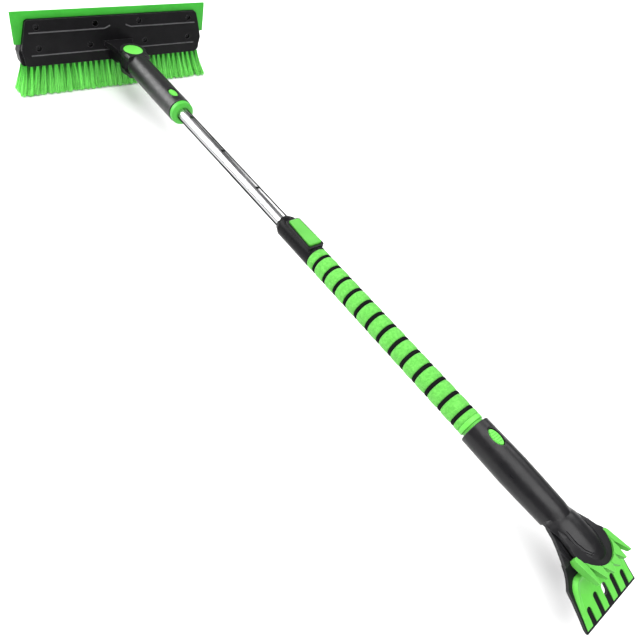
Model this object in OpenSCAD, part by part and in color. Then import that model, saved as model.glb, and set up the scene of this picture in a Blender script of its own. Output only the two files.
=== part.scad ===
// Telescoping snow brush: brush and squeegee head on a locking pivot, sliding tube,
// foam grip, and a snap-in ice scraper on the other end.
// Working frame inside the modules: X along the handle (brush at +X, scraper at -X),
// Z up (squeegee up, bristles down), origin on the head pivot. place() moves it all.

/* [Handle tubes] */
// radius of the sliding tube
tube_r = 11; // [10.8:0.1:11]
// wall of the sliding tube
tube_wall = 1.2; // [1:0.1:1.6]
// distance between the length-setting holes
hole_pitch = 101; // [90:1:101]
// how many length-setting holes
hole_count = 4; // [2:1:4]
// radius of the length-setting holes
hole_r = 2.9; // [2.7:0.1:3.2]
// radius of the outer tube under the grip
outer_r = 13; // [12.8:0.1:13]

/* [Grip] */
// largest radius of the foam grip
grip_r = 17; // [16.8:0.1:18]
// number of rings round the foam
ring_count = 13; // [5:1:13]
// distance between the rings
ring_pitch = 23.8; // [20:0.1:23.8]
// depth of the ring grooves below the foam
ring_depth = 1.5; // [1:0.1:2]

/* [Length lock] */
// radius of the lock housing
housing_r = 17.2; // [16.5:0.1:17.2]
// height of the lever's top above the handle axis
lever_top = 22; // [21:0.5:23]
// half-width of the lever at its front end
lever_front_w = 8.5; // [7:0.5:9]
// half-width of the lever at its rear end
lever_rear_w = 11; // [9:0.5:11]

/* [Snap sockets] */
// radius of both detachable sockets
socket_r = 15.3; // [15.3:0.1:15.6]
// length of the oval snap button
snap_l = 23; // [18:1:23]
// width of the oval snap button
snap_w = 12.5; // [10:0.5:12.5]

/* [Pivot] */
// radius of the arm disc between the ears
disc_r = 20.5; // [19.5:0.1:20.5]
// radius of the pivot button
button_r = 17.5; // [15:0.5:17.5]
// number of teeth on the star ring that locks the head
star_teeth = 24; // [24:24:24]

/* [Head] */
// half-length of the squeegee
squeegee_half = 184; // [178:1:190]
// height of the squeegee lip above the handle axis
squeegee_top = 65; // [60:1:68]
// thickness of the squeegee sheet
squeegee_t = 3.5; // [3:0.1:3.5]
// bristle tips below the handle axis
bristle_bottom = 80; // [76:1:90]

/* [Scraper] */
// half-width of the scraping edge
blade_half = 50.9; // [49:0.1:53]
// slope of the blade below the handle axis, degrees
blade_slope = 27; // [27:1:27]
// width of the slots in the green cover
slot_w = 7.7; // [6:0.1:8]

/* [Hidden] */
$fn = 48;

black = [0.1, 0.1, 0.11];
green = [0.33, 0.86, 0.3];
steel = [0.75, 0.76, 0.78];

slip = 0.06;      // radial running gap
gap = 0.3;        // gap between pieces that move past each other
fit = 0.02;       // gap of a push fit

// stations along the handle
mouth_x = -178;
housing_front = -492.5;
housing_rear = -574.5;
lock_x = -519;
lever_x = -540;
lever_z = 15.2;
grip_end = -886.5;
collar_end = -893;
tube_end = -889;
handle_mouth = -897;
edge_x = -1126;
edge_z = -31;
tip_back = 87;

outer_in = outer_r - 1.2;
plug_r = socket_r - 0.1;
plug_in = 11.5;
brush_snap_x = -151;
brush_root_x = -124;
scraper_snap_x = -922;
scraper_root_x = -968;
root_z = 13.3;
root_r = 1.85;
snap_top = 19.4;

// pivot stack heights
ear_top = 20.5;
ear_gap_top = 10;
ear_gap_bottom = -12;
disc_top = 9.6;
disc_bottom = -11.6;
pocket_floor = 14;
stem_r = 8.6;
axle_r = 3;

// head
shell_x = 61;
sheet_x = 68.8;
back_x = tip_back;
head_bottom = -29;
screw_spots = [[146, 41], [42, 41], [146, 4], [53.7, 4]];
screw_r = 1.6;

shift_x = -(edge_x + tip_back) / 2;
shift_z = bristle_bottom;

module place() translate([shift_x, 0, shift_z]) children();

// outline corners rounded with arcs of radius r
function corner(p, a, b, r, n) =
    let (u = (a - p) / norm(a - p))
    let (v = (b - p) / norm(b - p))
    let (half = acos(u * v) / 2)
    let (c = p + (u + v) / norm(u + v) * r / sin(half))
    let (s = p + u * r / tan(half) - c)
    let (e = p + v * r / tan(half) - c)
    let (start = atan2(s[1], s[0]))
    let (turn = ((atan2(e[1], e[0]) - start + 540) % 360) - 180)
    [for (i = [0 : n]) c + r * [cos(start + turn * i / n), sin(start + turn * i / n)]];

function rounded(pts, r, n = 6) =
    let (m = len(pts))
    [for (i = [0 : m - 1]) each corner(pts[i], pts[(i + m - 1) % m], pts[(i + 1) % m],
        is_list(r) ? r[i] : r, n)];

// half outline given for y >= 0, mirrored to a whole one
function mirrored(half) = concat(half,
    [for (i = [len(half) - 1 : -1 : 0]) if (half[i][1] != 0) [half[i][0], -half[i][1]]]);

// slot outline with round ends, length l and width w along X
function slot_outline(l, w, n = 10) = concat(
    [for (i = [0 : n]) [(l - w) / 2, 0] + w / 2 * [cos(-90 + 180 * i / n), sin(-90 + 180 * i / n)]],
    [for (i = [0 : n]) [(w - l) / 2, 0] + w / 2 * [cos(90 + 180 * i / n), sin(90 + 180 * i / n)]]);

// oval outline, length l and width w along X
function oval(l, w, n = 40) = [for (i = [0 : n - 1]) [l / 2 * cos(360 * i / n), w / 2 * sin(360 * i / n)]];

module rod_x(x0, x1, r) translate([x0, 0, 0]) rotate([0, 90, 0]) cylinder(h = x1 - x0, r = r);

module tube_x(x0, x1, r, r_in) difference() {
    rod_x(x0, x1, r);
    rod_x(x0 - 1, x1 + 1, r_in);
}

// solid turned about the handle axis, points are [radius, x]
module turned_x(points) rotate([0, 90, 0]) rotate_extrude() polygon(points);

// slab of a plan outline between two heights
module slab(points, z0, z1) translate([0, 0, z0]) linear_extrude(z1 - z0) polygon(points);

// side profile in X and Z, extruded from y0 to y1
module side(points, y0, y1) translate([0, y1, 0]) rotate([90, 0, 0])
    linear_extrude(y1 - y0) polygon(points);

// front outline in Y and Z, extruded from x0 to x1
module front(points, x0, x1) translate([x0, 0, 0]) rotate([90, 0, 90])
    linear_extrude(x1 - x0) polygon(points);

module box(x0, x1, half_y, z0, z1) translate([x0, -half_y, z0]) cube([x1 - x0, 2 * half_y, z1 - z0]);

// ---------- grip ----------

module outer_tube() color(steel) place() difference() {
    tube_x(tube_end, -506, outer_r, outer_in);
    translate([lock_x, 0, 5]) cylinder(h = 12, r = 4.2);
}

ring_x = [for (i = [0 : ring_count - 1]) -590 - ring_pitch * i];
ring_w = [for (i = [0 : ring_count - 1]) 4.9 + 0.9 * sin(180 * (i + 0.5) / ring_count)];
// edges of the foam bands, from the front of the grip to its end
band_from = concat([housing_rear], [for (i = [0 : ring_count - 1]) ring_x[i] - ring_w[i] / 2]);
band_to = concat([for (i = [0 : ring_count - 1]) ring_x[i] + ring_w[i] / 2], [grip_end]);
groove_r = grip_r - ring_depth;
edge_r = grip_r - 0.55;

module foam_grip() color(green) place() turned_x(concat(
    [[outer_r + fit, grip_end], [outer_r + fit, housing_rear]],
    [for (i = [0 : ring_count]) each concat(
        [[i == 0 ? edge_r : groove_r, band_from[i]], [edge_r, band_from[i] - 0.01],
        [grip_r, band_from[i] - 3.5], [grip_r, band_to[i] + 3.5], [edge_r, band_to[i] + 0.01]],
        i == ring_count ? [] : [[groove_r, band_to[i]]])]));

module grip_rings() color(black) place()
    for (i = [0 : ring_count - 1])
        tube_x(band_from[i + 1] + fit, band_to[i] - fit, edge_r - 0.1, groove_r + fit);

// outline of the lever seen from above, grown by g
function lever_plan(g, rear) = rounded([[-511 + g, lever_front_w + g], [-511 + g, -lever_front_w - g],
    [-567 - rear, -lever_rear_w - g], [-567 - rear, lever_rear_w + g]], 3);

pad_plan = rounded([[-508, 12.4], [-508, -12.4], [-571, -13.6], [-571, 13.6]], 4);
pocket_z = 13.6;

module lock_housing() color(black) place() difference() {
    union() {
        turned_x([[0, housing_rear], [housing_r - 0.6, housing_rear], [housing_r, housing_rear + 1],
            [housing_r, -501], [13.5, housing_front], [0, housing_front]]);
        slab(pad_plan, 0, 19);
    }
    rod_x(housing_rear - 1, -506, outer_r + fit);
    rod_x(-507, housing_front + 1, tube_r + slip);
    slab(lever_plan(0.4, 1.2), pocket_z, 30);
    translate([lock_x, 0, 5]) cylinder(h = 20, r = 4.2);
    translate([lever_x, 0, lever_z]) rotate([90, 0, 0]) cylinder(h = 25.2, r = 1.52, center = true);
    translate([-558, 0, 12]) cylinder(h = 4, r = 2.8);
}

module lever_pin() color(steel) place() translate([lever_x, 0, lever_z]) rotate([90, 0, 0])
    cylinder(h = 25, r = 1.5, center = true);

module lever_spring() color(steel) place() translate([-558, 0, outer_r + 0.05]) difference() {
    cylinder(h = 6, r = 2.4);
    translate([0, 0, -1]) cylinder(h = 8, r = 1.7);
}

module lock_lever() color(green) place() difference() {
    intersection() {
        slab(lever_plan(0, 0), 12, 30);
        side([[-510, 13.9], [-541.5, 13.9], [-568, 17.7], [-568, lever_top - 1.8],
            [-565.5, lever_top], [-548, lever_top - 0.8], [-535, lever_top - 0.8],
            [-513, lever_top], [-510, lever_top - 1.8]], -15, 15);
    }
    translate([lever_x, 0, lever_z]) rotate([90, 0, 0]) cylinder(h = 40, r = 1.55, center = true);
    translate([lock_x, 0, 10]) cylinder(h = 9, r = 2.32);
    translate([-558, 0, 12]) cylinder(h = 7.4, r = 2.9);
}

module lock_pin() color(steel) place() difference() {
    translate([lock_x, 0, 8.2]) cylinder(h = 10.6, r = 2.3);
    translate([lock_x, 0, 8.2]) rotate([0, 40, 0]) translate([-5, -5, -3.2]) cube([10, 10, 2]);
}

module scraper_connector() color(green) place() difference() {
    turned_x([[outer_r + fit, grip_end], [outer_r + fit, tube_end - 0.05], [plug_in, tube_end - 0.05],
        [plug_in, -975], [plug_r - 1, -975], [plug_r, -974], [plug_r, collar_end - 0.4],
        [grip_r - 0.5, collar_end], [grip_r, collar_end + 1], [grip_r, grip_end - 1],
        [grip_r - 0.5, grip_end]]);
    box(-970.2, -902.7, 7.2, 8, 20);
}

// sprung tongue with its oval button; root at x0, free end at x1
module snap_tongue(root_x, end_x, button_x) {
    intersection() {
        tube_x(min(root_x, end_x), max(root_x, end_x), plug_r, plug_in);
        box(min(root_x, end_x) - 1, max(root_x, end_x) + 1, 6.9, 8, 20);
    }
    intersection() {
        translate([root_x, 0, root_z]) rotate([90, 0, 0]) cylinder(h = 13.8, r = root_r, center = true);
        rod_x(root_x - 3, root_x + 3, plug_r);
    }
    translate([button_x, 0, 0]) {
        slab(oval(snap_l, snap_w), 12.6, snap_top - 0.9);
        slab(oval(snap_l - 1.6, snap_w - 1.6), 12.6, snap_top);
    }
}

module scraper_snap() color(green) place() difference() {
    snap_tongue(scraper_root_x, -903, scraper_snap_x);
    for (i = [-2 : 2])
        translate([scraper_snap_x + 3.2 * i, 0, snap_top]) rotate([90, 0, 0])
            cylinder(h = 20, r = 0.7, center = true, $fn = 16);
}

// ---------- sliding tube ----------

module inner_tube() color(black) place() difference() {
    tube_x(-568, mouth_x, tube_r, tube_r - tube_wall);
    for (i = [0 : hole_count - 1])
        translate([lock_x + hole_pitch * i, 0, 5]) cylinder(h = 10, r = hole_r);
}

module tube_bush() color(black) place() turned_x([[6, -580], [outer_in - 0.05, -580],
    [outer_in - 0.05, -568.02], [tube_r - tube_wall - fit, -568.02], [tube_r - tube_wall - fit, -558],
    [6, -558]]);

flange_x = mouth_x - gap;
flange_end = -188.6;

module brush_connector() color(green) place() difference() {
    turned_x([[tube_r + fit, flange_end], [15, flange_end], [19.8, flange_end + 2.4],
        [20.4, flange_end + 3.4], [20.4, flange_x - 0.6], [19.8, flange_x], [plug_r, flange_x],
        [plug_r, -120], [plug_r - 1, -119], [plug_in, -119], [plug_in, -175.5], [7.5, -175.5],
        [7.5, -204], [tube_r - tube_wall - fit, -204],
        [tube_r - tube_wall - fit, mouth_x + 0.02], [tube_r + fit, mouth_x + 0.02]]);
    box(-174.3, -121.85, 7.2, 8, 20);
}

module brush_snap() color(green) place() difference() {
    snap_tongue(brush_root_x, -174, brush_snap_x);
    translate([brush_snap_x, 0, snap_top - 0.5]) difference() {
        slab(oval(snap_l - 6, snap_w - 5), 0, 1);
        slab(oval(snap_l - 8.4, snap_w - 7.4), -1, 2);
    }
}

// ---------- brush neck ----------

// oval release hole through the top wall, with a shallow recess round it
module release_hole(x) translate([x, 0, 0]) {
    slab(oval(snap_l + 2, snap_w + 2), 5, 30);
    difference() {
        slab(oval(snap_l + 6, snap_w + 5), 5, 30);
        rod_x(-25, 25, 20.3);
    }
}

ear_plan = mirrored([[-24.5, 20.8], [-8, 22]]);

module ear(z0, z1) {
    translate([0, 0, z0]) cylinder(h = z1 - z0, r = 22.3);
    intersection() {
        slab(ear_plan, z0, z1);
        rod_x(-30, 0, 27);
    }
}

module star(r, z0, z1) translate([0, 0, z0]) linear_extrude(z1 - z0)
    polygon([for (i = [0 : 2 * star_teeth - 1])
        (r - (i % 2) * 1.6) * [cos(180 * i / star_teeth), sin(180 * i / star_teeth)]]);

module brush_stub() color(black) place() difference() {
    union() {
        turned_x([[0, mouth_x], [20.9, mouth_x], [21.5, mouth_x + 0.8], [21.7, -110], [21.6, -60],
            [21.5, -23], [0, -23]]);
        ear(ear_gap_top, ear_top);
        ear(-ear_top, ear_gap_bottom);
    }
    rod_x(mouth_x - 1, -116, socket_r);
    rod_x(-117, -62, 11.5);
    release_hole(brush_snap_x);
    translate([0, 0, ear_gap_bottom]) cylinder(h = ear_gap_top - ear_gap_bottom, r = disc_r + 0.8);
    translate([0, 0, pocket_floor]) cylinder(h = 10, r = button_r + 0.35);
    translate([0, 0, 5]) cylinder(h = 12, r = stem_r + slip);
    star(15.3, -18.3, -11);
    translate([0, 0, -30]) cylinder(h = 20, r = axle_r + fit);
    translate([0, 0, -25]) cylinder(h = 5.5, r = 15.4);
    under_marks();
}

// moulded relief under the neck: tab, bar, four dimples and end bar
module under_marks() {
    difference() {
        union() {
            translate([-34, 0, 0]) slab(slot_outline(26, 17), -25, -15);
            box(-70, -44, 4.8, -25, -15);
            box(-176, -154, 3.6, -25, -15);
        }
        rod_x(-200, 0, 20.9);
    }
    for (x = [-79, -101, -124, -147])
        translate([x, 0, -26]) cylinder(h = 6.2, r = 6.8);
}

module pivot_axle() color(steel) place() translate([0, 0, -19.48]) cylinder(h = 32.2, r = axle_r);

module pivot_cap() color(green) place() rotate_extrude()
    polygon([[0, -19.52], [0, -21.9], [12, -21.7], [14.6, -21.2], [15.3, -20.4], [15.3, -19.52]]);

module pivot_button() color(green) place() difference() {
    rotate_extrude() polygon([[0, 21.6], [9, 21.3], [button_r - 2.5, 20.6], [button_r - 0.7, 19.9],
        [button_r, 18.9], [button_r, 17.6], [stem_r, 17.6], [stem_r, -9.18], [6.9, -9.18], [6.9, 8],
        [0, 8]]);
    translate([0, 0, 7]) cylinder(h = 10, r = axle_r + 0.08);
}

module pivot_lock_ring() color(steel) place() difference() {
    star(15, -15, -9.2);
    translate([0, 0, -16]) cylinder(h = 8, r = 7.2);
}

module pivot_spring() color(steel) place() difference() {
    translate([0, 0, -18.2]) cylinder(h = 26.1, r = 6.4);
    translate([0, 0, -19]) cylinder(h = 28, r = 4.6);
}

// ---------- head ----------

deck_plan = mirrored([[0, 20], [10, 19.4], [22, 18.8], [32, 19], [42, 21], [52, 25], [62, 28]]);
fin_y = [for (i = [-2.5 : 1 : 2.5]) i * 7];
plate_outline = rounded([[-163, 52.6], [163, 52.6], [175.5, 2], [170, head_bottom], [-170, head_bottom],
    [-175.5, 2]], [7, 7, 8, 8, 8, 8]);

back_outline = rounded([[-163, 52.6], [163, 52.6], [178.5, -6], [176.5, head_bottom],
    [-176.5, head_bottom], [-178.5, -6]], [7, 7, 8, 6, 6, 8]);

module screw_holes(r, x0, x1) for (s = screw_spots, m = [-1, 1])
    translate([x0, m * s[0], s[1]]) rotate([0, 90, 0]) cylinder(h = x1 - x0, r = r, $fn = 24);

// half-round bead between two points on the front of the plate
module bead(a, b) translate(a) rotate([atan2(b[2] - a[2], b[1] - a[1]), 0, 0]) rotate([-90, 0, 0])
    cylinder(h = norm(b - a), r = 1.1, $fn = 20);

module beads() for (m = [0, 1]) mirror([0, m, 0]) {
    bead([61.2, 26, 31.8], [61.2, 160, 31.8]);
    bead([61.4, 15, 36], [61.4, 26.4, 31.6]);
    bead([61.2, 27, -8], [61.2, 160, -8]);
}

module head_shell() color(black) place() difference() {
    union() {
        translate([0, 0, disc_bottom]) cylinder(h = disc_top - disc_bottom, r = disc_r);
        slab(deck_plan, 0, disc_top - 0.4);
        difference() {
            for (y = fin_y)
                translate([0, y, 0]) side([[10, 1], [10, -15], [22, -16], [shell_x + 1, -24],
                    [shell_x + 1, 1]], -1.2, 1.2);
            translate([0, 0, -30]) cylinder(h = 30 + disc_bottom, r = 31);
            translate([0, 0, -12]) cylinder(h = 11, r = disc_r - 0.5);
        }
        intersection() {
            side([[shell_x, -8], [shell_x, 31.8], [64, 54.5], [sheet_x, 54.5], [sheet_x, -30],
                [64.5, -30]], -180, 180);
            front(plate_outline, 50, 80);
        }
        beads();
    }
    for (s = screw_spots, m = [-1, 1])
        translate([50, m * s[0], s[1]]) rotate([0, 90, 0])
            cylinder(h = s[1] > 20 ? 16.6 : 15.6, r = 5.2, $fn = 32);
    screw_holes(screw_r + fit, 55, 75);
    translate([0, 0, -13]) cylinder(h = 30, r = stem_r + slip);
    star(15.3, -13, -8.9);
}

module squeegee() color(green) place() difference() {
    side([[sheet_x + fit, 10], [sheet_x + squeegee_t - fit, 10],
        [sheet_x + squeegee_t - fit, squeegee_top - 6], [sheet_x + 2.4, squeegee_top],
        [sheet_x + 0.9, squeegee_top], [sheet_x + fit, squeegee_top - 6]],
        -squeegee_half, squeegee_half);
    screw_holes(screw_r + 0.1, 60, 80);
}

sheet_back = sheet_x + squeegee_t;

module back_shell() color(black) place() difference() {
    intersection() {
        side([[sheet_back, 55], [sheet_back, 9.8], [sheet_x + fit, 9.8], [sheet_x + fit, -30],
            [back_x - 1.5, -30], [back_x, -26], [back_x, 44], [back_x - 3, 55]], -180, 180);
        front(back_outline, 60, 90);
    }
    difference() {
        box(sheet_back - 1, back_x - 2.6, 155, 12.5, 48);
        for (s = screw_spots, m = [-1, 1])
            translate([60, m * s[0], s[1]]) rotate([0, 90, 0]) cylinder(h = 30, r = 4.5);
        for (y = [-100, 0, 100])
            translate([70, y - 1, 0]) cube([20, 2, 60]);
    }
    screw_holes(screw_r + fit, 60, 82.5);
}

module head_screws() color(steel) place() for (s = screw_spots, m = [-1, 1])
    translate([s[1] > 20 ? 66.6 : 65.6, m * s[0], s[1]]) rotate([0, 90, 0]) difference() {
        union() {
            translate([0, 0, -1.8]) cylinder(h = 1.78, r = 4, $fn = 32);
            translate([0, 0, -0.1]) cylinder(h = 15.4, r = screw_r, $fn = 24);
        }
        translate([0, 0, -2]) for (a = [0, 90]) rotate([0, 0, a])
            translate([-2.4, -0.45, 0]) cube([4.8, 0.9, 1.2]);
    }

// block of bristles leaning toward the handle, splayed at its ends
module bristle_block(root_front, root_back, tip_front, tip_back_x, root_y, tip_y) intersection() {
    side([[root_front, head_bottom], [root_back, head_bottom], [tip_back_x, -bristle_bottom],
        [tip_front, -bristle_bottom]], -200, 200);
    front([[-root_y, head_bottom], [root_y, head_bottom], [tip_y, -bristle_bottom],
        [-tip_y, -bristle_bottom]], 30, 100);
}

module bristles_green() color(green) place() difference() {
    bristle_block(65.2, 85.5, 54, 86.5, 173.5, 189);
    bristle_block(70.4, 79, 63.5, 77, 167.5, 179);
}

module bristles_black() color(black) place() bristle_block(70.6, 78.8, 63.8, 76.7, 167.2, 178.7);

// ---------- scraper ----------

slope_cos = cos(blade_slope);
// frame of the blade: u up the slope from the scraping edge, w out of its top face
module on_blade() translate([edge_x, 0, edge_z]) rotate([0, -blade_slope, 0]) children();

blade_half_plan = [[0, blade_half - 0.6], [0.8, blade_half], [16.8, blade_half - 1.7],
    [34.7, blade_half - 2.6], [43.7, blade_half - 2.4], [47.3, blade_half - 2.6], [50.5, blade_half - 5],
    [56, blade_half - 8.4], [62, 40], [70.5, 38.6]];
// level layer between the blade and the neck
fan_plan = mirrored([[-1016, 15], [-1028, 20.8], [-1038, 23.8], [-1047.6, 28.6], [-1060, 36],
    [-1063.5, 38.6], [-1066, 39]]);
shield_plan = mirrored([[-1022, 17.4], [-1033, 18.6], [-1045, 22.2], [-1055, 25], [-1062, 27.4],
    [-1067, 27.2], [-1073, 25.2], [-1079, 21.4], [-1084, 16], [-1087.4, 10], [-1089, 4]]);
shield_top = [[-1018, 3], [-1034, 9], [-1046, 11.6], [-1058, 12.3], [-1092, 12.3]];
shield_under = [[-1064, 8.8], [-1046, 5.4], [-1034, 3], [-1018, -2]];
dome_z = -9;

module shield() {
    intersection() {
        slab(shield_plan, -5, 25);
        side(concat(shield_top, [[-1092, 9.6]], shield_under), -40, 40);
    }
    intersection() {
        translate([0, 0, dome_z]) turned_x([[0, -1090.5], [13, -1089.6], [19, -1086.5], [23, -1081],
            [25.6, -1072], [26.8, -1060], [27.2, -1045], [26.6, -1034], [24, -1024], [18, -1016],
            [0, -1016]]);
        side([[-1095, 25], [-1010, 25], [-1010, 0], [-1018, 0], [-1034, 5], [-1046, 7.5], [-1064, 10],
            [-1095, 10.8]], -24, 24);
    }
}

module hang_hole() on_blade() translate([20.2, 0, 0]) slab(slot_outline(13, 8), -10, 20);

// neck of the scraper, grown by g
module scraper_neck(g) turned_x([[0, -980], [20.3 + g, -985], [19 + g, -1020], [17.4 + g, -1030],
    [14.2 + g, -1039], [11 + g, -1050], [8 + g, -1066], [0, -1072 - g]]);

// step under the end of the neck where the fan begins
module neck_step() difference() {
    box(-1061, -1022, 30, -30, -5);
    rod_x(-1062, -1021, 15.4);
}

module scraper_body() color(black) place() difference() {
    union() {
        turned_x([[0, handle_mouth], [19.8, handle_mouth], [20.4, handle_mouth - 0.8], [21, -960],
            [20.3, -985], [0, -985]]);
        scraper_neck(0);
        shield();
        on_blade() slab(mirrored(blade_half_plan), -3.4, 0);
        slab(fan_plan, -2.6, 2.4);
        for (y = [21.5, 26, 30.5], m = [-1, 1])
            translate([-1068 + (y - 21.5) / 3, m * y, 1]) rotate([0, 0, m * (y * 2.2 - 66)])
                cube([26 - (y - 21.5), 0.9, 2.6]);
    }
    neck_step();
    rod_x(-978, handle_mouth + 1, socket_r);
    rod_x(-1022, -977, 11.5);
    release_hole(scraper_snap_x);
    side([[-1033, -30], [-1033, -18.4], [-1069, -5.8], [-1100, -21.8], [-1100, -60]], -60, 60);
    on_blade() side([[-1, -5], [-1, -1.1], [5, -3.42], [5, -5]], -60, 60);
    hang_hole();
    for (m = [-1, 1], d = [0, 2.6])
        side_groove(m, d);
}

// moulded line beside the domed ridge, d outward of the inner one
module side_groove(m, d) intersection() {
    slab([[-1041, m * (14.2 + d)], [-1041, m * (15 + d)], [-1056, m * (15.4 + d)],
        [-1066, m * (13.4 + d)], [-1074, m * (9 + d)], [-1073.5, m * (8.2 + d)],
        [-1065.6, m * (12.5 + d)], [-1056, m * (14.5 + d)]], 0, 30);
    side([[-1036, 7.2], [-1046, 10.5], [-1058, 11.6], [-1080, 12.4], [-1080, 30], [-1036, 30]], -30, 30);
}

cover_half_plan = [[2.6, 48.3], [16.8, 46.8], [34.7, 44.9], [43.7, 43.2], [48.6, 40.4], [52, 36.5],
    [53.6, 33], [54, 28]];
// the same outline drawn in to the flat top of the cover
cover_top_half = [[3, 46.6], [16.8, 45.2], [34.7, 43.2], [43, 41.5], [47.6, 38.6], [50.8, 34.6], [52, 28]];
// the tray sunk into the cover, at its brim and at its floor
tray_half = [[0, 45.4], [16.8, 43.8], [34.5, 41.8], [42, 40], [46.4, 37], [49.4, 33], [50.4, 28]];
floor_half = [[0, 43.6], [16.8, 41], [30, 38], [37, 35.4], [42, 31], [44, 26]];
cover_high = 5;

module cover_form() hull() {
    on_blade() slab(mirrored(cover_half_plan), fit, 0.5);
    on_blade() slab(mirrored(cover_top_half), fit, cover_high);
}

module tray() hull() {
    on_blade() slab(mirrored(floor_half), 1.3, 1.4);
    on_blade() slab(mirrored(tray_half), cover_high + 0.1, cover_high + 0.3);
}

module scraper_cover() color(green) place() difference() {
    intersection() {
        cover_form();
        on_blade() side([[2, 0], [3.6, 0.9], [22, 1.8], [40, cover_high], [60, cover_high], [60, 0]],
            -60, 60);
    }
    tray();
    for (i = [-2 : 2])
        on_blade() translate([abs(i) == 2 ? 6.3 : 12.4, 17.3 * i, 0])
            slab(slot_outline(30, i == 0 ? slot_w + 1.8 : slot_w), -1, 5);
}

claw_plan = mirrored([[-1064.5, 31], [-1068, 32.2], [-1095.5, 32.8], [-1095.5, 31.2], [-1080, 25.6],
    [-1080, 24.4], [-1097, 19.6], [-1097, 17.8], [-1088.6, 13], [-1088.6, 11.8], [-1098, 7.2],
    [-1098, 5.4], [-1092.4, 0.5]]);

// grooves that run from the edge of the shield to each valley between the claws
module claw_grooves() for (y = [0, 12.4, 25], m = y > 0 ? [-1, 1] : [1])
    translate([-1066, m * y, 13.2]) rotate([0, 9.6, 0]) translate([-37, 0, 0]) rotate([45, 0, 0])
        translate([0, -1.5, -1.5]) cube([37, 3, 3]);

module scraper_claws() color(green) place() difference() {
    intersection() {
        slab(claw_plan, -18, 25);
        side([[-1060, 3.6], [-1062, 12.2], [-1066, 12.6], [-1101.5, 18.6], [-1101.5, 17.6], [-1094, 10.6],
            [-1082, 5], [-1070, 2.8]], -40, 40);
    }
    shield();
    slab(shield_plan, 10, 30);
    scraper_neck(0.1);
    claw_grooves();
    slab(fan_plan, -2.6, 2.6);
    on_blade() translate([0, 0, -20]) slab([[-5, -60], [-5, 60], [72, 60], [72, -60]], 0, 20.3);
    cover_form();
}

outer_tube();
foam_grip();
grip_rings();
lock_housing();
lever_pin();
lever_spring();
lock_lever();
lock_pin();
inner_tube();
tube_bush();
brush_connector();
brush_snap();
brush_stub();
pivot_axle();
pivot_cap();
pivot_button();
pivot_lock_ring();
pivot_spring();
head_shell();
back_shell();
squeegee();
head_screws();
bristles_green();
bristles_black();
scraper_connector();
scraper_snap();
scraper_body();
scraper_cover();
scraper_claws();
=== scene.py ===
import bpy, math, random
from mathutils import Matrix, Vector


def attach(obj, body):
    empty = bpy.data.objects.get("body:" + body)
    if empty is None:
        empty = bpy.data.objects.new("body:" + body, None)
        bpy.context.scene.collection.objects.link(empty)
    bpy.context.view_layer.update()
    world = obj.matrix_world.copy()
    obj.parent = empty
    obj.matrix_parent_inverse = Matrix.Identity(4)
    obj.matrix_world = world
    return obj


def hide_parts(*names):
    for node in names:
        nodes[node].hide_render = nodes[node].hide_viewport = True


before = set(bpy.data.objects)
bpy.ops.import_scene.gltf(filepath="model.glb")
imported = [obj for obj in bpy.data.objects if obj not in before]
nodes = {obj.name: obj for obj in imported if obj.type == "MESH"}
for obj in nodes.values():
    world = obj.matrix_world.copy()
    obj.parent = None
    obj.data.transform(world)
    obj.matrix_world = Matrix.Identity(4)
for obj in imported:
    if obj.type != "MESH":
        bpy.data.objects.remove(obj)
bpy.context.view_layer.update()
scene = bpy.context.scene

# lengths below are in mm, measured from the head's pivot axis and the handle's axis
MM = 0.001
PIVOT_X, HANDLE_Z = 0.5195, 0.080  # where those two axes lie in the frame, in metres


def at(x, y, z):
    """a place in mm about the head's pivot, in the frame's metres"""
    return Vector((PIVOT_X + x * MM, y * MM, HANDLE_Z + z * MM))


# ------------------------------------------------------------------ camera
camera = bpy.data.objects.new("camera", bpy.data.cameras.new("camera"))
scene.collection.objects.link(camera)
camera.data.sensor_width = 36.0
camera.data.lens = 32.526
camera.data.clip_start = 0.01
camera.data.clip_end = 50
camera.location = at(-990.74, 474.17, 551.08)
camera.rotation_euler = [math.radians(turn) for turn in (41.498, -13.046, -127.601)]
scene.camera = camera


# ------------------------------------------------------------------ material helpers
def new_material(name):
    mat = bpy.data.materials.new(name)
    mat.use_nodes = True
    nt = mat.node_tree
    return mat, nt, nt.nodes["Principled BSDF"]


def ramp(nt, value, stops):
    """a colour for each value, from (position, colour) stops"""
    node = nt.nodes.new("ShaderNodeValToRGB")
    elements = node.color_ramp.elements
    while len(elements) < len(stops):
        elements.new(0.5)
    for element, (position, colour) in zip(elements, stops):
        element.position = position
        element.color = (*colour, 1.0)
    nt.links.new(value, node.inputs[0])
    return node.outputs[0]


def noise(nt, scale, detail, rough, distortion, vector):
    node = nt.nodes.new("ShaderNodeTexNoise")
    node.inputs["Scale"].default_value = scale
    node.inputs["Detail"].default_value = detail
    node.inputs["Roughness"].default_value = rough
    node.inputs["Distortion"].default_value = distortion
    nt.links.new(vector, node.inputs["Vector"])
    return node.outputs["Fac"]


def object_point(nt):
    return nt.nodes.new("ShaderNodeTexCoord").outputs["Object"]


def coords(nt, scale=(1, 1, 1)):
    mapping = nt.nodes.new("ShaderNodeMapping")
    mapping.inputs["Scale"].default_value = scale
    nt.links.new(object_point(nt), mapping.inputs["Vector"])
    return mapping.outputs["Vector"]


def map_range(nt, value, source, target=(0.0, 1.0)):
    node = nt.nodes.new("ShaderNodeMapRange")
    node.inputs["From Min"].default_value, node.inputs["From Max"].default_value = source
    node.inputs["To Min"].default_value, node.inputs["To Max"].default_value = target
    nt.links.new(value, node.inputs["Value"])
    return node.outputs[0]


def math_node(nt, operation, a, b):
    node = nt.nodes.new("ShaderNodeMath")
    node.operation = operation
    for socket, value in zip(node.inputs, (a, b)):
        if isinstance(value, (int, float)):
            socket.default_value = value
        else:
            nt.links.new(value, socket)
    return node.outputs[0]


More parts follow.
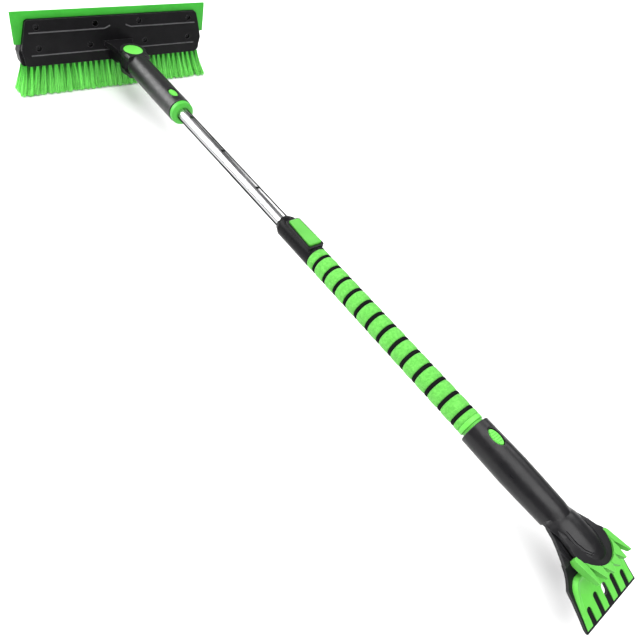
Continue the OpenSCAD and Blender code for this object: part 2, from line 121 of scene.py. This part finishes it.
def mix_rgb(nt, share, a, b, kind="MIX"):
    node = nt.nodes.new("ShaderNodeMix")
    node.data_type = "RGBA"
    node.blend_type = kind
    for socket, value in ((node.inputs[0], share), (node.inputs[6], a), (node.inputs[7], b)):
        if isinstance(value, (int, float)):
            socket.default_value = value
        elif isinstance(value, tuple):
            socket.default_value = (*value, 1.0)
        else:
            nt.links.new(value, socket)
    return node.outputs[2]


def bump(nt, bsdf, height, strength, depth, after=None):
    """relief of this depth in metres, on top of another relief if after is given"""
    node = nt.nodes.new("ShaderNodeBump")
    node.inputs["Strength"].default_value = strength
    node.inputs["Distance"].default_value = depth
    nt.links.new(height, node.inputs["Height"])
    if after is not None:
        nt.links.new(after, node.inputs["Normal"])
    nt.links.new(node.outputs["Normal"], bsdf.inputs["Normal"])
    return node.outputs["Normal"]


def edge_mask(nt, radius):
    """white where the surface turns within this radius, black on flat and gently curved faces"""
    geometry = nt.nodes.new("ShaderNodeNewGeometry")
    rounded = nt.nodes.new("ShaderNodeBevel")
    rounded.samples = 4
    rounded.inputs["Radius"].default_value = radius
    turn = nt.nodes.new("ShaderNodeVectorMath")
    turn.operation = "DOT_PRODUCT"
    nt.links.new(rounded.outputs["Normal"], turn.inputs[0])
    nt.links.new(geometry.outputs["Normal"], turn.inputs[1])
    return ramp(nt, turn.outputs["Value"], [(0.88, (1, 1, 1)), (0.985, (0, 0, 0))])


def painted_nook_shade(nt, radius, shade):
    """painted shade: this tint in corners and grooves narrower than the radius, white in the open"""
    node = nt.nodes.new("ShaderNodeAmbientOcclusion")
    node.samples = 6
    node.inputs["Distance"].default_value = radius
    return ramp(nt, node.outputs["AO"], [(0.25, shade), (0.8, (1, 1, 1))])


# ------------------------------------------------------------------ materials
def plastic(name, dark, light, rough, grain=900.0, depth=0.00003, wear=None, spec=0.5, painted_shade=None):
    """moulded plastic: cloudy colour, fine grain, rubbed edges, painted shade in nooks, uneven gloss"""
    mat, nt, bsdf = new_material(name)
    point = coords(nt)
    colour = ramp(nt, noise(nt, 22.0, 5.0, 0.6, 0.3, point), [(0.3, dark), (0.72, light)])
    if wear:
        patches = math_node(nt, "MULTIPLY", noise(nt, 160.0, 3.0, 0.6, 0.0, point), 0.8)
        rubbed = math_node(nt, "MULTIPLY", edge_mask(nt, 0.0007), patches)
        colour = mix_rgb(nt, rubbed, colour, wear)
    # painted shade: corners and grooves are darkened through ambient occlusion
    if painted_shade:
        colour = mix_rgb(nt, 1.0, colour, painted_nook_shade(nt, 0.006, painted_shade), "MULTIPLY")
    nt.links.new(colour, bsdf.inputs["Base Color"])
    smears = noise(nt, 60.0, 4.0, 0.65, 0.8, point)
    nt.links.new(map_range(nt, smears, (0.3, 0.7), rough), bsdf.inputs["Roughness"])
    bump(nt, bsdf, noise(nt, grain, 2.0, 0.6, 0.0, point), 0.35, depth)
    bsdf.inputs["Specular IOR Level"].default_value = spec
    return mat


m_black = plastic("black_plastic", (0.006, 0.006, 0.007), (0.011, 0.0105, 0.0115), (0.27, 0.4),
                  wear=(0.075, 0.075, 0.08), spec=0.25)
m_black_head = plastic("black_plastic_head", (0.0055, 0.0055, 0.006), (0.0105, 0.01, 0.011), (0.3, 0.45),
                       wear=(0.2, 0.2, 0.205), spec=0.06)
m_black_lock = plastic("black_plastic_lock", (0.005, 0.005, 0.0055), (0.009, 0.0088, 0.0095), (0.22, 0.34),
                       wear=(0.12, 0.12, 0.125), spec=0.07)
m_black_neck = plastic("black_plastic_neck", (0.006, 0.006, 0.0065), (0.011, 0.0105, 0.0115), (0.33, 0.46),
                       wear=(0.08, 0.08, 0.085), spec=0.42)
# painted highlight: a lighter grey for the plate's raised lines, where they catch the light
m_bead_painted_highlight = plastic("black_plastic_bead_painted_highlight", (0.05, 0.05, 0.052), (0.085, 0.085, 0.09), (0.3, 0.4), spec=0.3)
m_green = plastic("green_plastic", (0.105, 0.50, 0.06), (0.145, 0.60, 0.085), (0.3, 0.45), grain=700.0,
                  depth=0.00002, wear=(0.24, 0.8, 0.18), spec=0.22, painted_shade=(0.42, 0.62, 0.4))
m_green_mid = plastic("green_plastic_mid", (0.07, 0.34, 0.04), (0.1, 0.42, 0.058), (0.3, 0.45), grain=700.0,
                      depth=0.00002, wear=(0.24, 0.8, 0.18), spec=0.16, painted_shade=(0.3, 0.5, 0.28))
m_green_deep = plastic("green_plastic_deep", (0.06, 0.38, 0.045), (0.09, 0.48, 0.06), (0.25, 0.4),
                       grain=700.0, depth=0.00002, wear=(0.2, 0.7, 0.16), spec=0.2, painted_shade=(0.42, 0.62, 0.4))
m_squeegee = plastic("squeegee_rubber", (0.028, 0.33, 0.02), (0.042, 0.42, 0.032), (0.42, 0.58), grain=420.0,
                     depth=0.00004, wear=(0.16, 0.7, 0.12), spec=0.3)
m_ring = plastic("ring_rubber", (0.0035, 0.0035, 0.004), (0.007, 0.007, 0.0075), (0.6, 0.8), grain=1200.0,
                 depth=0.00006, spec=0.04)


def foam_material():
    """closed-cell foam: blotchy colour, fine dark cells, a cell relief over soft lumps"""
    mat, nt, bsdf = new_material("foam_green")
    point = coords(nt)
    blotches = noise(nt, 260.0, 5.0, 0.7, 0.6, point)
    colour = ramp(nt, blotches, [(0.3, (0.066, 0.34, 0.036)), (0.7, (0.15, 0.57, 0.088))])
    cells = nt.nodes.new("ShaderNodeTexVoronoi")
    cells.inputs["Scale"].default_value = 1100.0
    nt.links.new(point, cells.inputs["Vector"])
    cell_shade = ramp(nt, cells.outputs["Distance"], [(0.0, (0.72, 0.72, 0.72)), (0.5, (1, 1, 1))])
    nt.links.new(mix_rgb(nt, 0.55, colour, cell_shade, "MULTIPLY"), bsdf.inputs["Base Color"])
    bsdf.inputs["Roughness"].default_value = 0.86
    bsdf.inputs["Specular IOR Level"].default_value = 0.3
    bsdf.inputs["Sheen Weight"].default_value = 0.1
    bsdf.inputs["Sheen Roughness"].default_value = 0.5
    cell_relief = bump(nt, bsdf, cells.outputs["Distance"], 0.5, 0.00012)
    bump(nt, bsdf, noise(nt, 140.0, 3.0, 0.55, 0.0, point), 0.35, 0.0006, cell_relief)
    return mat


def metal(name, base, rough, streak, along=(1, 1, 1), scratch=0.3):
    """streaked metal: streak darkens the streaks, and along stretches them along an axis"""
    mat, nt, bsdf = new_material(name)
    streaks = noise(nt, 500.0, 3.0, 0.6, 0.0, coords(nt, along))
    shade = tuple(channel * (1 - streak) for channel in base)
    nt.links.new(ramp(nt, streaks, [(0.35, shade), (0.65, base)]), bsdf.inputs["Base Color"])
    bsdf.inputs["Metallic"].default_value = 1.0
    nt.links.new(map_range(nt, streaks, (0.35, 0.65), rough), bsdf.inputs["Roughness"])
    bump(nt, bsdf, streaks, scratch, 0.000015)
    return mat


def painted_reflection_lines(mat):
    """painted reflections: light and dark lines along a drawn tube, at set angles about the handle's axis"""
    nt = mat.node_tree
    bsdf = nt.nodes["Principled BSDF"]
    point = object_point(nt)
    axes = nt.nodes.new("ShaderNodeSeparateXYZ")
    nt.links.new(point, axes.inputs[0])
    height = math_node(nt, "SUBTRACT", axes.outputs["Z"], HANDLE_Z)
    angle = math_node(nt, "ARCTAN2", height, axes.outputs["Y"])
    offset = 0.46  # in turns, places the whole set of painted reflection lines about the axis
    share = math_node(nt, "ADD", math_node(nt, "DIVIDE", angle, 2 * math.pi), offset)
    drift = math_node(nt, "MULTIPLY", noise(nt, 4.0, 2.0, 0.5, 0.0, point), 0.08)
    share = math_node(nt, "ADD", share, drift)
    light, grey, mid, dark = (1, 1, 1), (0.5, 0.5, 0.5), (0.24, 0.24, 0.24), (0.09, 0.09, 0.095)
    painted_reflections = ramp(nt, share, [(0.0, grey), (0.1, light), (0.24, light), (0.35, dark), (0.47, dark),
                             (0.497, mid), (0.52, light), (0.545, mid), (0.57, light), (0.715, light),
                             (0.75, grey), (0.78, light), (0.81, mid), (0.835, dark), (0.92, dark)])
    plain = bsdf.inputs["Base Color"].links[0].from_socket
    nt.links.new(mix_rgb(nt, 1.0, plain, painted_reflections, "MULTIPLY"), bsdf.inputs["Base Color"])
    # a dark specular tint dims the tube's grazing reflections, part of the painted reflections
    bsdf.inputs["Specular Tint"].default_value = (0.1, 0.1, 0.105, 1)


def bristle_material(name, root, tip, root_z, tip_z, rough):
    """nylon strands, darker at the root as painted shade among the packed strands and bright at the tip, each
    strand a little different
    """
    mat, nt, bsdf = new_material(name)
    point = object_point(nt)
    axes = nt.nodes.new("ShaderNodeSeparateXYZ")
    nt.links.new(point, axes.inputs[0])
    down = map_range(nt, axes.outputs["Z"], (root_z, tip_z))
    # painted shade: the strands darken from the tip up to the root
    colour = ramp(nt, down, [(0.0, root), (0.85, tip)])
    geometry = nt.nodes.new("ShaderNodeNewGeometry")
    strand_shade = ramp(nt, geometry.outputs["Random Per Island"],
                        [(0.0, (0.4, 0.45, 0.4)), (1.0, (1.35, 1.22, 1.35))])
    nt.links.new(mix_rgb(nt, 1.0, colour, strand_shade, "MULTIPLY"), bsdf.inputs["Base Color"])
    bsdf.inputs["Roughness"].default_value = rough
    bsdf.inputs["Specular IOR Level"].default_value = 0.4
    bump(nt, bsdf, noise(nt, 600.0, 2.0, 0.5, 0.0, point), 0.2, 0.00002)
    return mat


m_foam = foam_material()
m_tube = metal("bright_tube", (0.86, 0.86, 0.87), (0.16, 0.3), 0.25, (0.02, 1, 1), 0.25)
painted_reflection_lines(m_tube)
m_alloy = metal("alloy_tube", (0.7, 0.71, 0.73), (0.25, 0.4), 0.1, (0.05, 1, 1))
m_steel = metal("steel", (0.62, 0.63, 0.65), (0.2, 0.38), 0.15)
m_screw = metal("screw_dark", (0.02, 0.02, 0.021), (0.14, 0.24), 0.2)
# painted shade: the bore of the sliding tube is near black
m_bore_painted_shade = metal("tube_bore_painted_shade", (0.03, 0.03, 0.031), (0.5, 0.65), 0.2)
m_bristle = bristle_material("bristle_green", (0.06, 0.56, 0.04), (0.22, 0.92, 0.15),
                             0.051, 0.010, 0.34)
# a darker copy of the green strands for the second row: painted shade in the gaps between the front tufts
m_bristle_painted_shade = bristle_material("bristle_green_painted_shade", (0.01, 0.13, 0.008), (0.17, 0.8, 0.12),
                                  0.045, 0.014, 0.4)
m_bristle_black = bristle_material("bristle_black", (0.004, 0.004, 0.005), (0.012, 0.012, 0.013),
                                   0.051, 0.004, 0.45)


# ------------------------------------------------------------------ mesh helpers
def make_piece(name, verts, faces, mat, body, stands_for, slot, smooth=True):
    """a piece that rides on a body, stands for a CAD node and takes the given material; the slot is not used
    """
    mesh = bpy.data.meshes.new(name)
    mesh.from_pydata([tuple(vert) for vert in verts], [], faces)
    mesh.materials.append(mat)
    mesh.polygons.foreach_set("use_smooth", [smooth] * len(mesh.polygons))
    mesh.update()
    piece = bpy.data.objects.new(name, mesh)
    scene.collection.objects.link(piece)
    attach(piece, body)
    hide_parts(stands_for)
    return piece


SEGMENTS = 96


def revolve(profiles, wobble=None):
    """closed profiles of (x, radius) turned about the handle's axis"""
    verts, faces = [], []
    for profile in profiles:
        base, n = len(verts), len(profile)
        for i in range(SEGMENTS):
            a = 2 * math.pi * i / SEGMENTS
            for x, r in profile:
                radius = r + (wobble(x, a, r) if wobble else 0.0)
                verts.append(at(x, radius * math.cos(a), radius * math.sin(a)))
        for i in range(SEGMENTS):
            j = (i + 1) % SEGMENTS
            for k in range(n):
                q = (k + 1) % n
                faces.append((base + i * n + k, base + j * n + k, base + j * n + q, base + i * n + q))
    return verts, faces


def loft(section, stations):
    """section points (x, z) carried along stations of (y, how far the section draws in)"""
    verts, faces = [], []
    n = len(section)
    mid_x = sum(p[0] for p in section) / n
    mid_z = sum(p[1] for p in section) / n
    for y, inset in stations:
        for x, z in section:
            verts.append(at(x + (mid_x - x) * inset, y, z + (mid_z - z) * inset * 0.05))
    for i in range(len(stations) - 1):
        for k in range(n):
            q = (k + 1) % n
            faces.append((i * n + k, i * n + q, (i + 1) * n + q, (i + 1) * n + k))
    faces.append(tuple(reversed(range(n))))
    faces.append(tuple(range((len(stations) - 1) * n, len(stations) * n)))
    return verts, faces


# ------------------------------------------------------------------ foam grip and rings
RINGS = 13
FOAM_FRONT, FOAM_REAR = -574.5, -886.5
FOAM_BORE = 13.05
GROOVE_R, BAND_R = 15.55, 17.05  # bottom of the grooves, crest of the bands between them
BAND_STEPS = 10
ring_x = [-590 - 23.8 * i for i in range(RINGS)]
ring_w = [4.9 + 0.9 * math.sin(math.pi * (i + 0.5) / RINGS) for i in range(RINGS)]


def foam_profile():
    """crowned bands with small lips, and a groove for each ring"""
    fronts = [FOAM_FRONT] + [x - w / 2 for x, w in zip(ring_x, ring_w)]
    rears = [x + w / 2 for x, w in zip(ring_x, ring_w)] + [FOAM_REAR]
    points = []
    for i, (a, b) in enumerate(zip(fronts, rears)):
        if i:
            points.append((a + 0.02, GROOVE_R))
        for k in range(BAND_STEPS + 1):
            u = k / BAND_STEPS
            to_lip = min(u, 1 - u) * abs(b - a)
            crown = 0.75 * (abs(2 * u - 1) ** 3.2)
            lip = 0.45 * max(0.0, 1 - to_lip / 0.9) ** 2
            points.append((a + (b - a) * u, BAND_R - crown - lip))
        if i < RINGS:
            points.append((b - 0.02, GROOVE_R))
    return [(FOAM_FRONT, FOAM_BORE)] + points + [(FOAM_REAR, FOAM_BORE)]


def foam_wobble(x, a, r):
    """the bands are a little uneven; the bore and the grooves are true"""
    if r < 15.9:
        return 0.0
    return 0.07 * math.sin(3 * a + x * 0.21) * math.sin(x * 0.37) + 0.05 * math.sin(5 * a - x * 0.13)


def ring_profile(x, w):
    h = w / 2 - 0.05
    return [(x - h, 15.58), (x - h, 16.05), (x - h + 0.3, 16.45), (x - h * 0.45, 16.72), (x, 16.78),
            (x + h * 0.45, 16.72), (x + h - 0.3, 16.45), (x + h, 16.05), (x + h, 15.58)]


foam = make_piece("foam_sleeve", *revolve([foam_profile()], foam_wobble), m_foam, "grip", "foam_grip", "foam")
ring_profiles = [ring_profile(x, w) for x, w in zip(ring_x, ring_w)]
make_piece("rubber_rings", *revolve(ring_profiles), m_ring, "grip", "grip_rings", "ring_rubber")

# ------------------------------------------------------------------ squeegee sheet
sheet_section = [(68.85, 10.2), (69.0, 10.0), (72.1, 10.0), (72.25, 10.2), (72.25, 35), (72.25, 58.6),
                 (72.05, 59.6), (71.35, 64.4), (71.1, 64.9), (69.9, 64.9), (69.65, 64.4), (69.05, 59.6),
                 (68.85, 58.6), (68.85, 35)]
sheet_end = [(-184, 0.25), (-183.6, 0.06), (-183.0, 0.0)]
stations = sheet_end + [(-183.0 + 366.0 * i / 60, 0.0) for i in range(1, 60)]
stations += [(-y, inset) for y, inset in reversed(sheet_end)]
make_piece("squeegee_sheet", *loft(sheet_section, stations), m_squeegee, "head", "squeegee",
           "squeegee_rubber")

# ------------------------------------------------------------------ bristles
rng = random.Random(7)
ROOT_Z, TIP_Z = -28.6, -79.7
STRANDS = 84  # in a tuft whose row has a share of 1
STRAND_R = (0.3, 0.24)  # at the root and at the tip
STRAND_BEND = 0.6  # how far a strand bows, one standard deviation
ROOT_HALF_X, ROOT_HALF_Y = 2.1, 2.3  # half the size of a tuft at its root
TIP_SPREAD = 5.8  # half the size of a tuft at its tips
TIP_X = (53.0, 87.0)  # no tip lies outside these
TIP_Y = 189.5
FULL_TURN, THIRD_TURN = 6.283, 2.0944  # in radians


def clamp(value, low, high):
    return max(low, min(high, value))


def strand(verts, faces, points, root_r, tip_r):
    """a three-sided strand through the points, closed at its tip"""
    base = len(verts)
    start = rng.random() * 2.1
    n = len(points)
    for i, p in enumerate(points):
        r = root_r + (tip_r - root_r) * i / (n - 1)
        for k in range(3):
            a = start + k * THIRD_TURN
            verts.append(at(p[0] + r * math.cos(a), p[1] + r * math.sin(a), p[2]))
    for i in range(n - 1):
        for k in range(3):
            q = (k + 1) % 3
            s = base + i * 3
            faces.append((s + k, s + 3 + k, s + 3 + q, s + q))
    t = base + (n - 1) * 3
    faces.append((t, t + 1, t + 2))


def tuft(verts, faces, root, tip, count):
    """one tuft of strands, from a small circle at the root to a wider one at the tips"""
    for _ in range(count):
        root_a, out = rng.random() * FULL_TURN, math.sqrt(rng.random())
        tip_a = root_a + rng.uniform(-0.5, 0.5)
        x0 = root[0] + ROOT_HALF_X * out * math.cos(root_a)
        y0 = root[1] + ROOT_HALF_Y * out * math.sin(root_a)
        spread = TIP_SPREAD * out * rng.uniform(0.75, 1.15)
        x1 = clamp(tip[0] + spread * math.cos(tip_a), *TIP_X)
        y1 = clamp(tip[1] + spread * math.sin(tip_a), -TIP_Y, TIP_Y)
        z1 = TIP_Z + abs(rng.gauss(0, 1.2)) + 1.8 * out * out
        bow_x, bow_y = rng.gauss(0, STRAND_BEND), rng.gauss(0, STRAND_BEND)
        points = []
        for i in range(5):
            u = i / 4
            lean = u ** 1.25
            bow = math.sin(math.pi * u)
            x = x0 + (x1 - x0) * lean + bow_x * bow
            y = y0 + (y1 - y0) * lean + bow_y * bow
            points.append((x, y, ROOT_Z + (z1 - ROOT_Z) * u))
        strand(verts, faces, points, *STRAND_R)


TUFTS = 33
ROW_HALF = 171.5  # from the middle of the head to the last tuft's root
ROW_FAN = 0.082  # how far the tips fan out at the ends of a row, as a share
PITCH = 2 * ROW_HALF / (TUFTS - 1)
rows = [  # root x, tip x, piece, shift of the row in pitches, share of STRANDS
    (67.0, 57.5, "front", 0.0, 1.35),
    (70.6, 62.5, "middle", 0.5, 1.0),
    (74.0, 68.0, "core", 0.5, 1.1),
    (77.2, 73.0, "core", 0.0, 1.1),
    (80.6, 78.2, "rear", 0.5, 1.1),
    (84.0, 83.2, "rear", 0.0, 1.1),
]
bristles = {key: ([], []) for key in ("front", "middle", "core", "rear")}
for root_x, tip_x, key, shift, share in rows:
    for i in range(TUFTS - (1 if shift else 0)):
        y = -ROW_HALF + PITCH * (i + shift)
        outward = abs(y) / ROW_HALF
        tip_y = clamp(y * (1 + ROW_FAN * outward ** 1.5) + rng.gauss(0, 0.8), -185.5, 185.5)
        # the black rows end in green tufts, so that the core shows at neither end of the head
        verts, faces = bristles["rear" if key == "core" and outward > 0.97 else key]
        tuft(verts, faces, (root_x, y), (tip_x + rng.gauss(0, 0.7), tip_y), int(STRANDS * share))
for key, mat in (("front", m_bristle), ("middle", m_bristle_painted_shade), ("rear", m_bristle)):
    make_piece("bristles_" + key, *bristles[key], mat, "head", "bristles_green", "bristle_green", False)
make_piece("bristles_core", *bristles["core"], m_bristle_black, "head", "bristles_black", "bristle_black",
           False)

# ------------------------------------------------------------------ CAD pieces: finish and eased edges
finish = {
    "outer_tube": m_alloy, "lock_housing": m_black_lock, "lever_pin": m_steel, "lever_spring": m_steel,
    "lock_lever": m_green_mid, "lock_pin": m_steel, "inner_tube": m_tube, "tube_bush": m_black,
    "brush_connector": m_green_deep, "brush_snap": m_green, "brush_stub": m_black_neck, "pivot_axle": m_steel,
    "pivot_cap": m_green, "pivot_button": m_green, "pivot_lock_ring": m_steel, "pivot_spring": m_steel,
    "head_shell": m_black_head, "back_shell": m_black_head, "head_screws": m_screw,
    "scraper_connector": m_green, "scraper_snap": m_green, "scraper_body": m_black,
    "scraper_cover": m_green, "scraper_claws": m_green_mid,
}
edge_width = {  # how far each piece's sharp edges are eased
    "brush_stub": 0.7, "head_shell": 0.6, "back_shell": 0.8, "scraper_body": 0.5, "scraper_claws": 0.5,
    "scraper_cover": 0.35, "lock_housing": 0.6, "lock_lever": 0.7, "brush_connector": 0.4,
    "scraper_connector": 0.4, "brush_snap": 0.35, "scraper_snap": 0.3, "pivot_cap": 0.2,
    "pivot_button": 0.25, "head_screws": 0.15,
}
for name, mat in finish.items():
    piece = nodes[name]
    piece.data.materials.clear()
    piece.data.materials.append(mat)
    piece.data.polygons.foreach_set("use_smooth", [True] * len(piece.data.polygons))
    weld = piece.modifiers.new("weld", "WELD")
    weld.merge_threshold = 0.00002
    if name in edge_width:
        eased = piece.modifiers.new("ease", "BEVEL")
        eased.width = edge_width[name] * MM
        eased.segments = 2
        eased.limit_method = "ANGLE"
        eased.angle_limit = math.radians(32)
        eased.use_clamp_overlap = True
        eased.harden_normals = False
    crisp = piece.modifiers.new("crisp", "EDGE_SPLIT")
    crisp.split_angle = math.radians(38)
    crisp.use_edge_sharp = False
    shade = piece.modifiers.new("shade", "WEIGHTED_NORMAL")
    shade.keep_sharp = True
    shade.weight = 80


def second_finish(piece, mat, chosen):
    """this material on the faces whose middle, in mm, and normal are chosen"""
    piece.data.materials.append(mat)
    for face in piece.data.polygons:
        middle = piece.matrix_world @ face.center
        x, y, z = (middle.x - PIVOT_X) / MM, middle.y / MM, (middle.z - HANDLE_Z) / MM
        if chosen(x, y, z, face.normal):
            face.material_index = 1


def in_bore(x, y, z, normal):
    """a face of the sliding tube that lies nearer its bore than its outside"""
    return math.hypot(y, z) < 10.55 and abs(normal.x) < 0.9


def on_bead(x, y, z, normal):
    """on the two raised lines of the plate, with the bends beside its middle"""
    on_line = abs(z + 8) < 1.3 or abs(z - 31.8) < 1.3 or (abs(y) < 27 and 31 < z < 37)
    return 59.9 < x < 61.2 and 14 < abs(y) < 161 and on_line


# the tube's bore is dull and near black, a painted shade inside it, and the beads moulded on the plate are a
# lighter grey, a painted highlight
second_finish(nodes["inner_tube"], m_bore_painted_shade, in_bore)
second_finish(nodes["head_shell"], m_bead_painted_highlight, on_bead)


# ------------------------------------------------------------------ floor and light
def white_floor():
    half, z = 8, -0.0005
    mesh = bpy.data.meshes.new("floor")
    mesh.from_pydata([(-half, -half, z), (half, -half, z), (half, half, z), (-half, half, z)], [],
                     [(0, 1, 2, 3)])
    mat, nt, bsdf = new_material("floor_white")
    patches = noise(nt, 3.0, 3.0, 0.5, 0.0, coords(nt))
    colour = ramp(nt, patches, [(0.3, (0.9, 0.9, 0.9)), (0.7, (0.92, 0.92, 0.92))])
    nt.links.new(colour, bsdf.inputs["Base Color"])
    bsdf.inputs["Roughness"].default_value = 0.7
    bsdf.inputs["Specular IOR Level"].default_value = 0.2
    mesh.materials.append(mat)
    floor = bpy.data.objects.new("floor", mesh)
    scene.collection.objects.link(floor)


def area(name, place, target, width, power, height=None):
    """a softbox aimed at the target, square unless a height is given"""
    light = bpy.data.lights.new(name, "AREA")
    light.energy = power
    light.size = width
    if height:
        light.shape = "RECTANGLE"
        light.size_y = height
    lamp = bpy.data.objects.new(name, light)
    lamp.location = place
    lamp.rotation_mode = "QUATERNION"
    lamp.rotation_quaternion = (Vector(target) - Vector(place)).to_track_quat("-Z", "Y")
    scene.collection.objects.link(lamp)


white_floor()
world = bpy.data.worlds.new("world")
scene.world = world
world.use_nodes = True
sky = world.node_tree.nodes["Background"]
sky.inputs["Color"].default_value = (1, 1, 1, 1)
sky.inputs["Strength"].default_value = 0.16

# a broad softbox overhead, a low one beyond the brush that the black necks catch, and weaker fills
area("over", (-0.5, 0.3, 3.3), (0, 0, 0.05), 3.0, 140, 3.0)
area("far", (2.7, 1.6, 1.35), (0.2, 0, 0.05), 2.8, 135, 1.9)
area("back", (0.9, -2.3, 2.2), (0.0, 0.0, 0.05), 3.0, 55, 1.6)
area("fill", (-2.6, 1.6, 2.0), (0, 0, 0.05), 1.8, 48)

scene.view_settings.view_transform = "Standard"
scene.view_settings.look = "None"
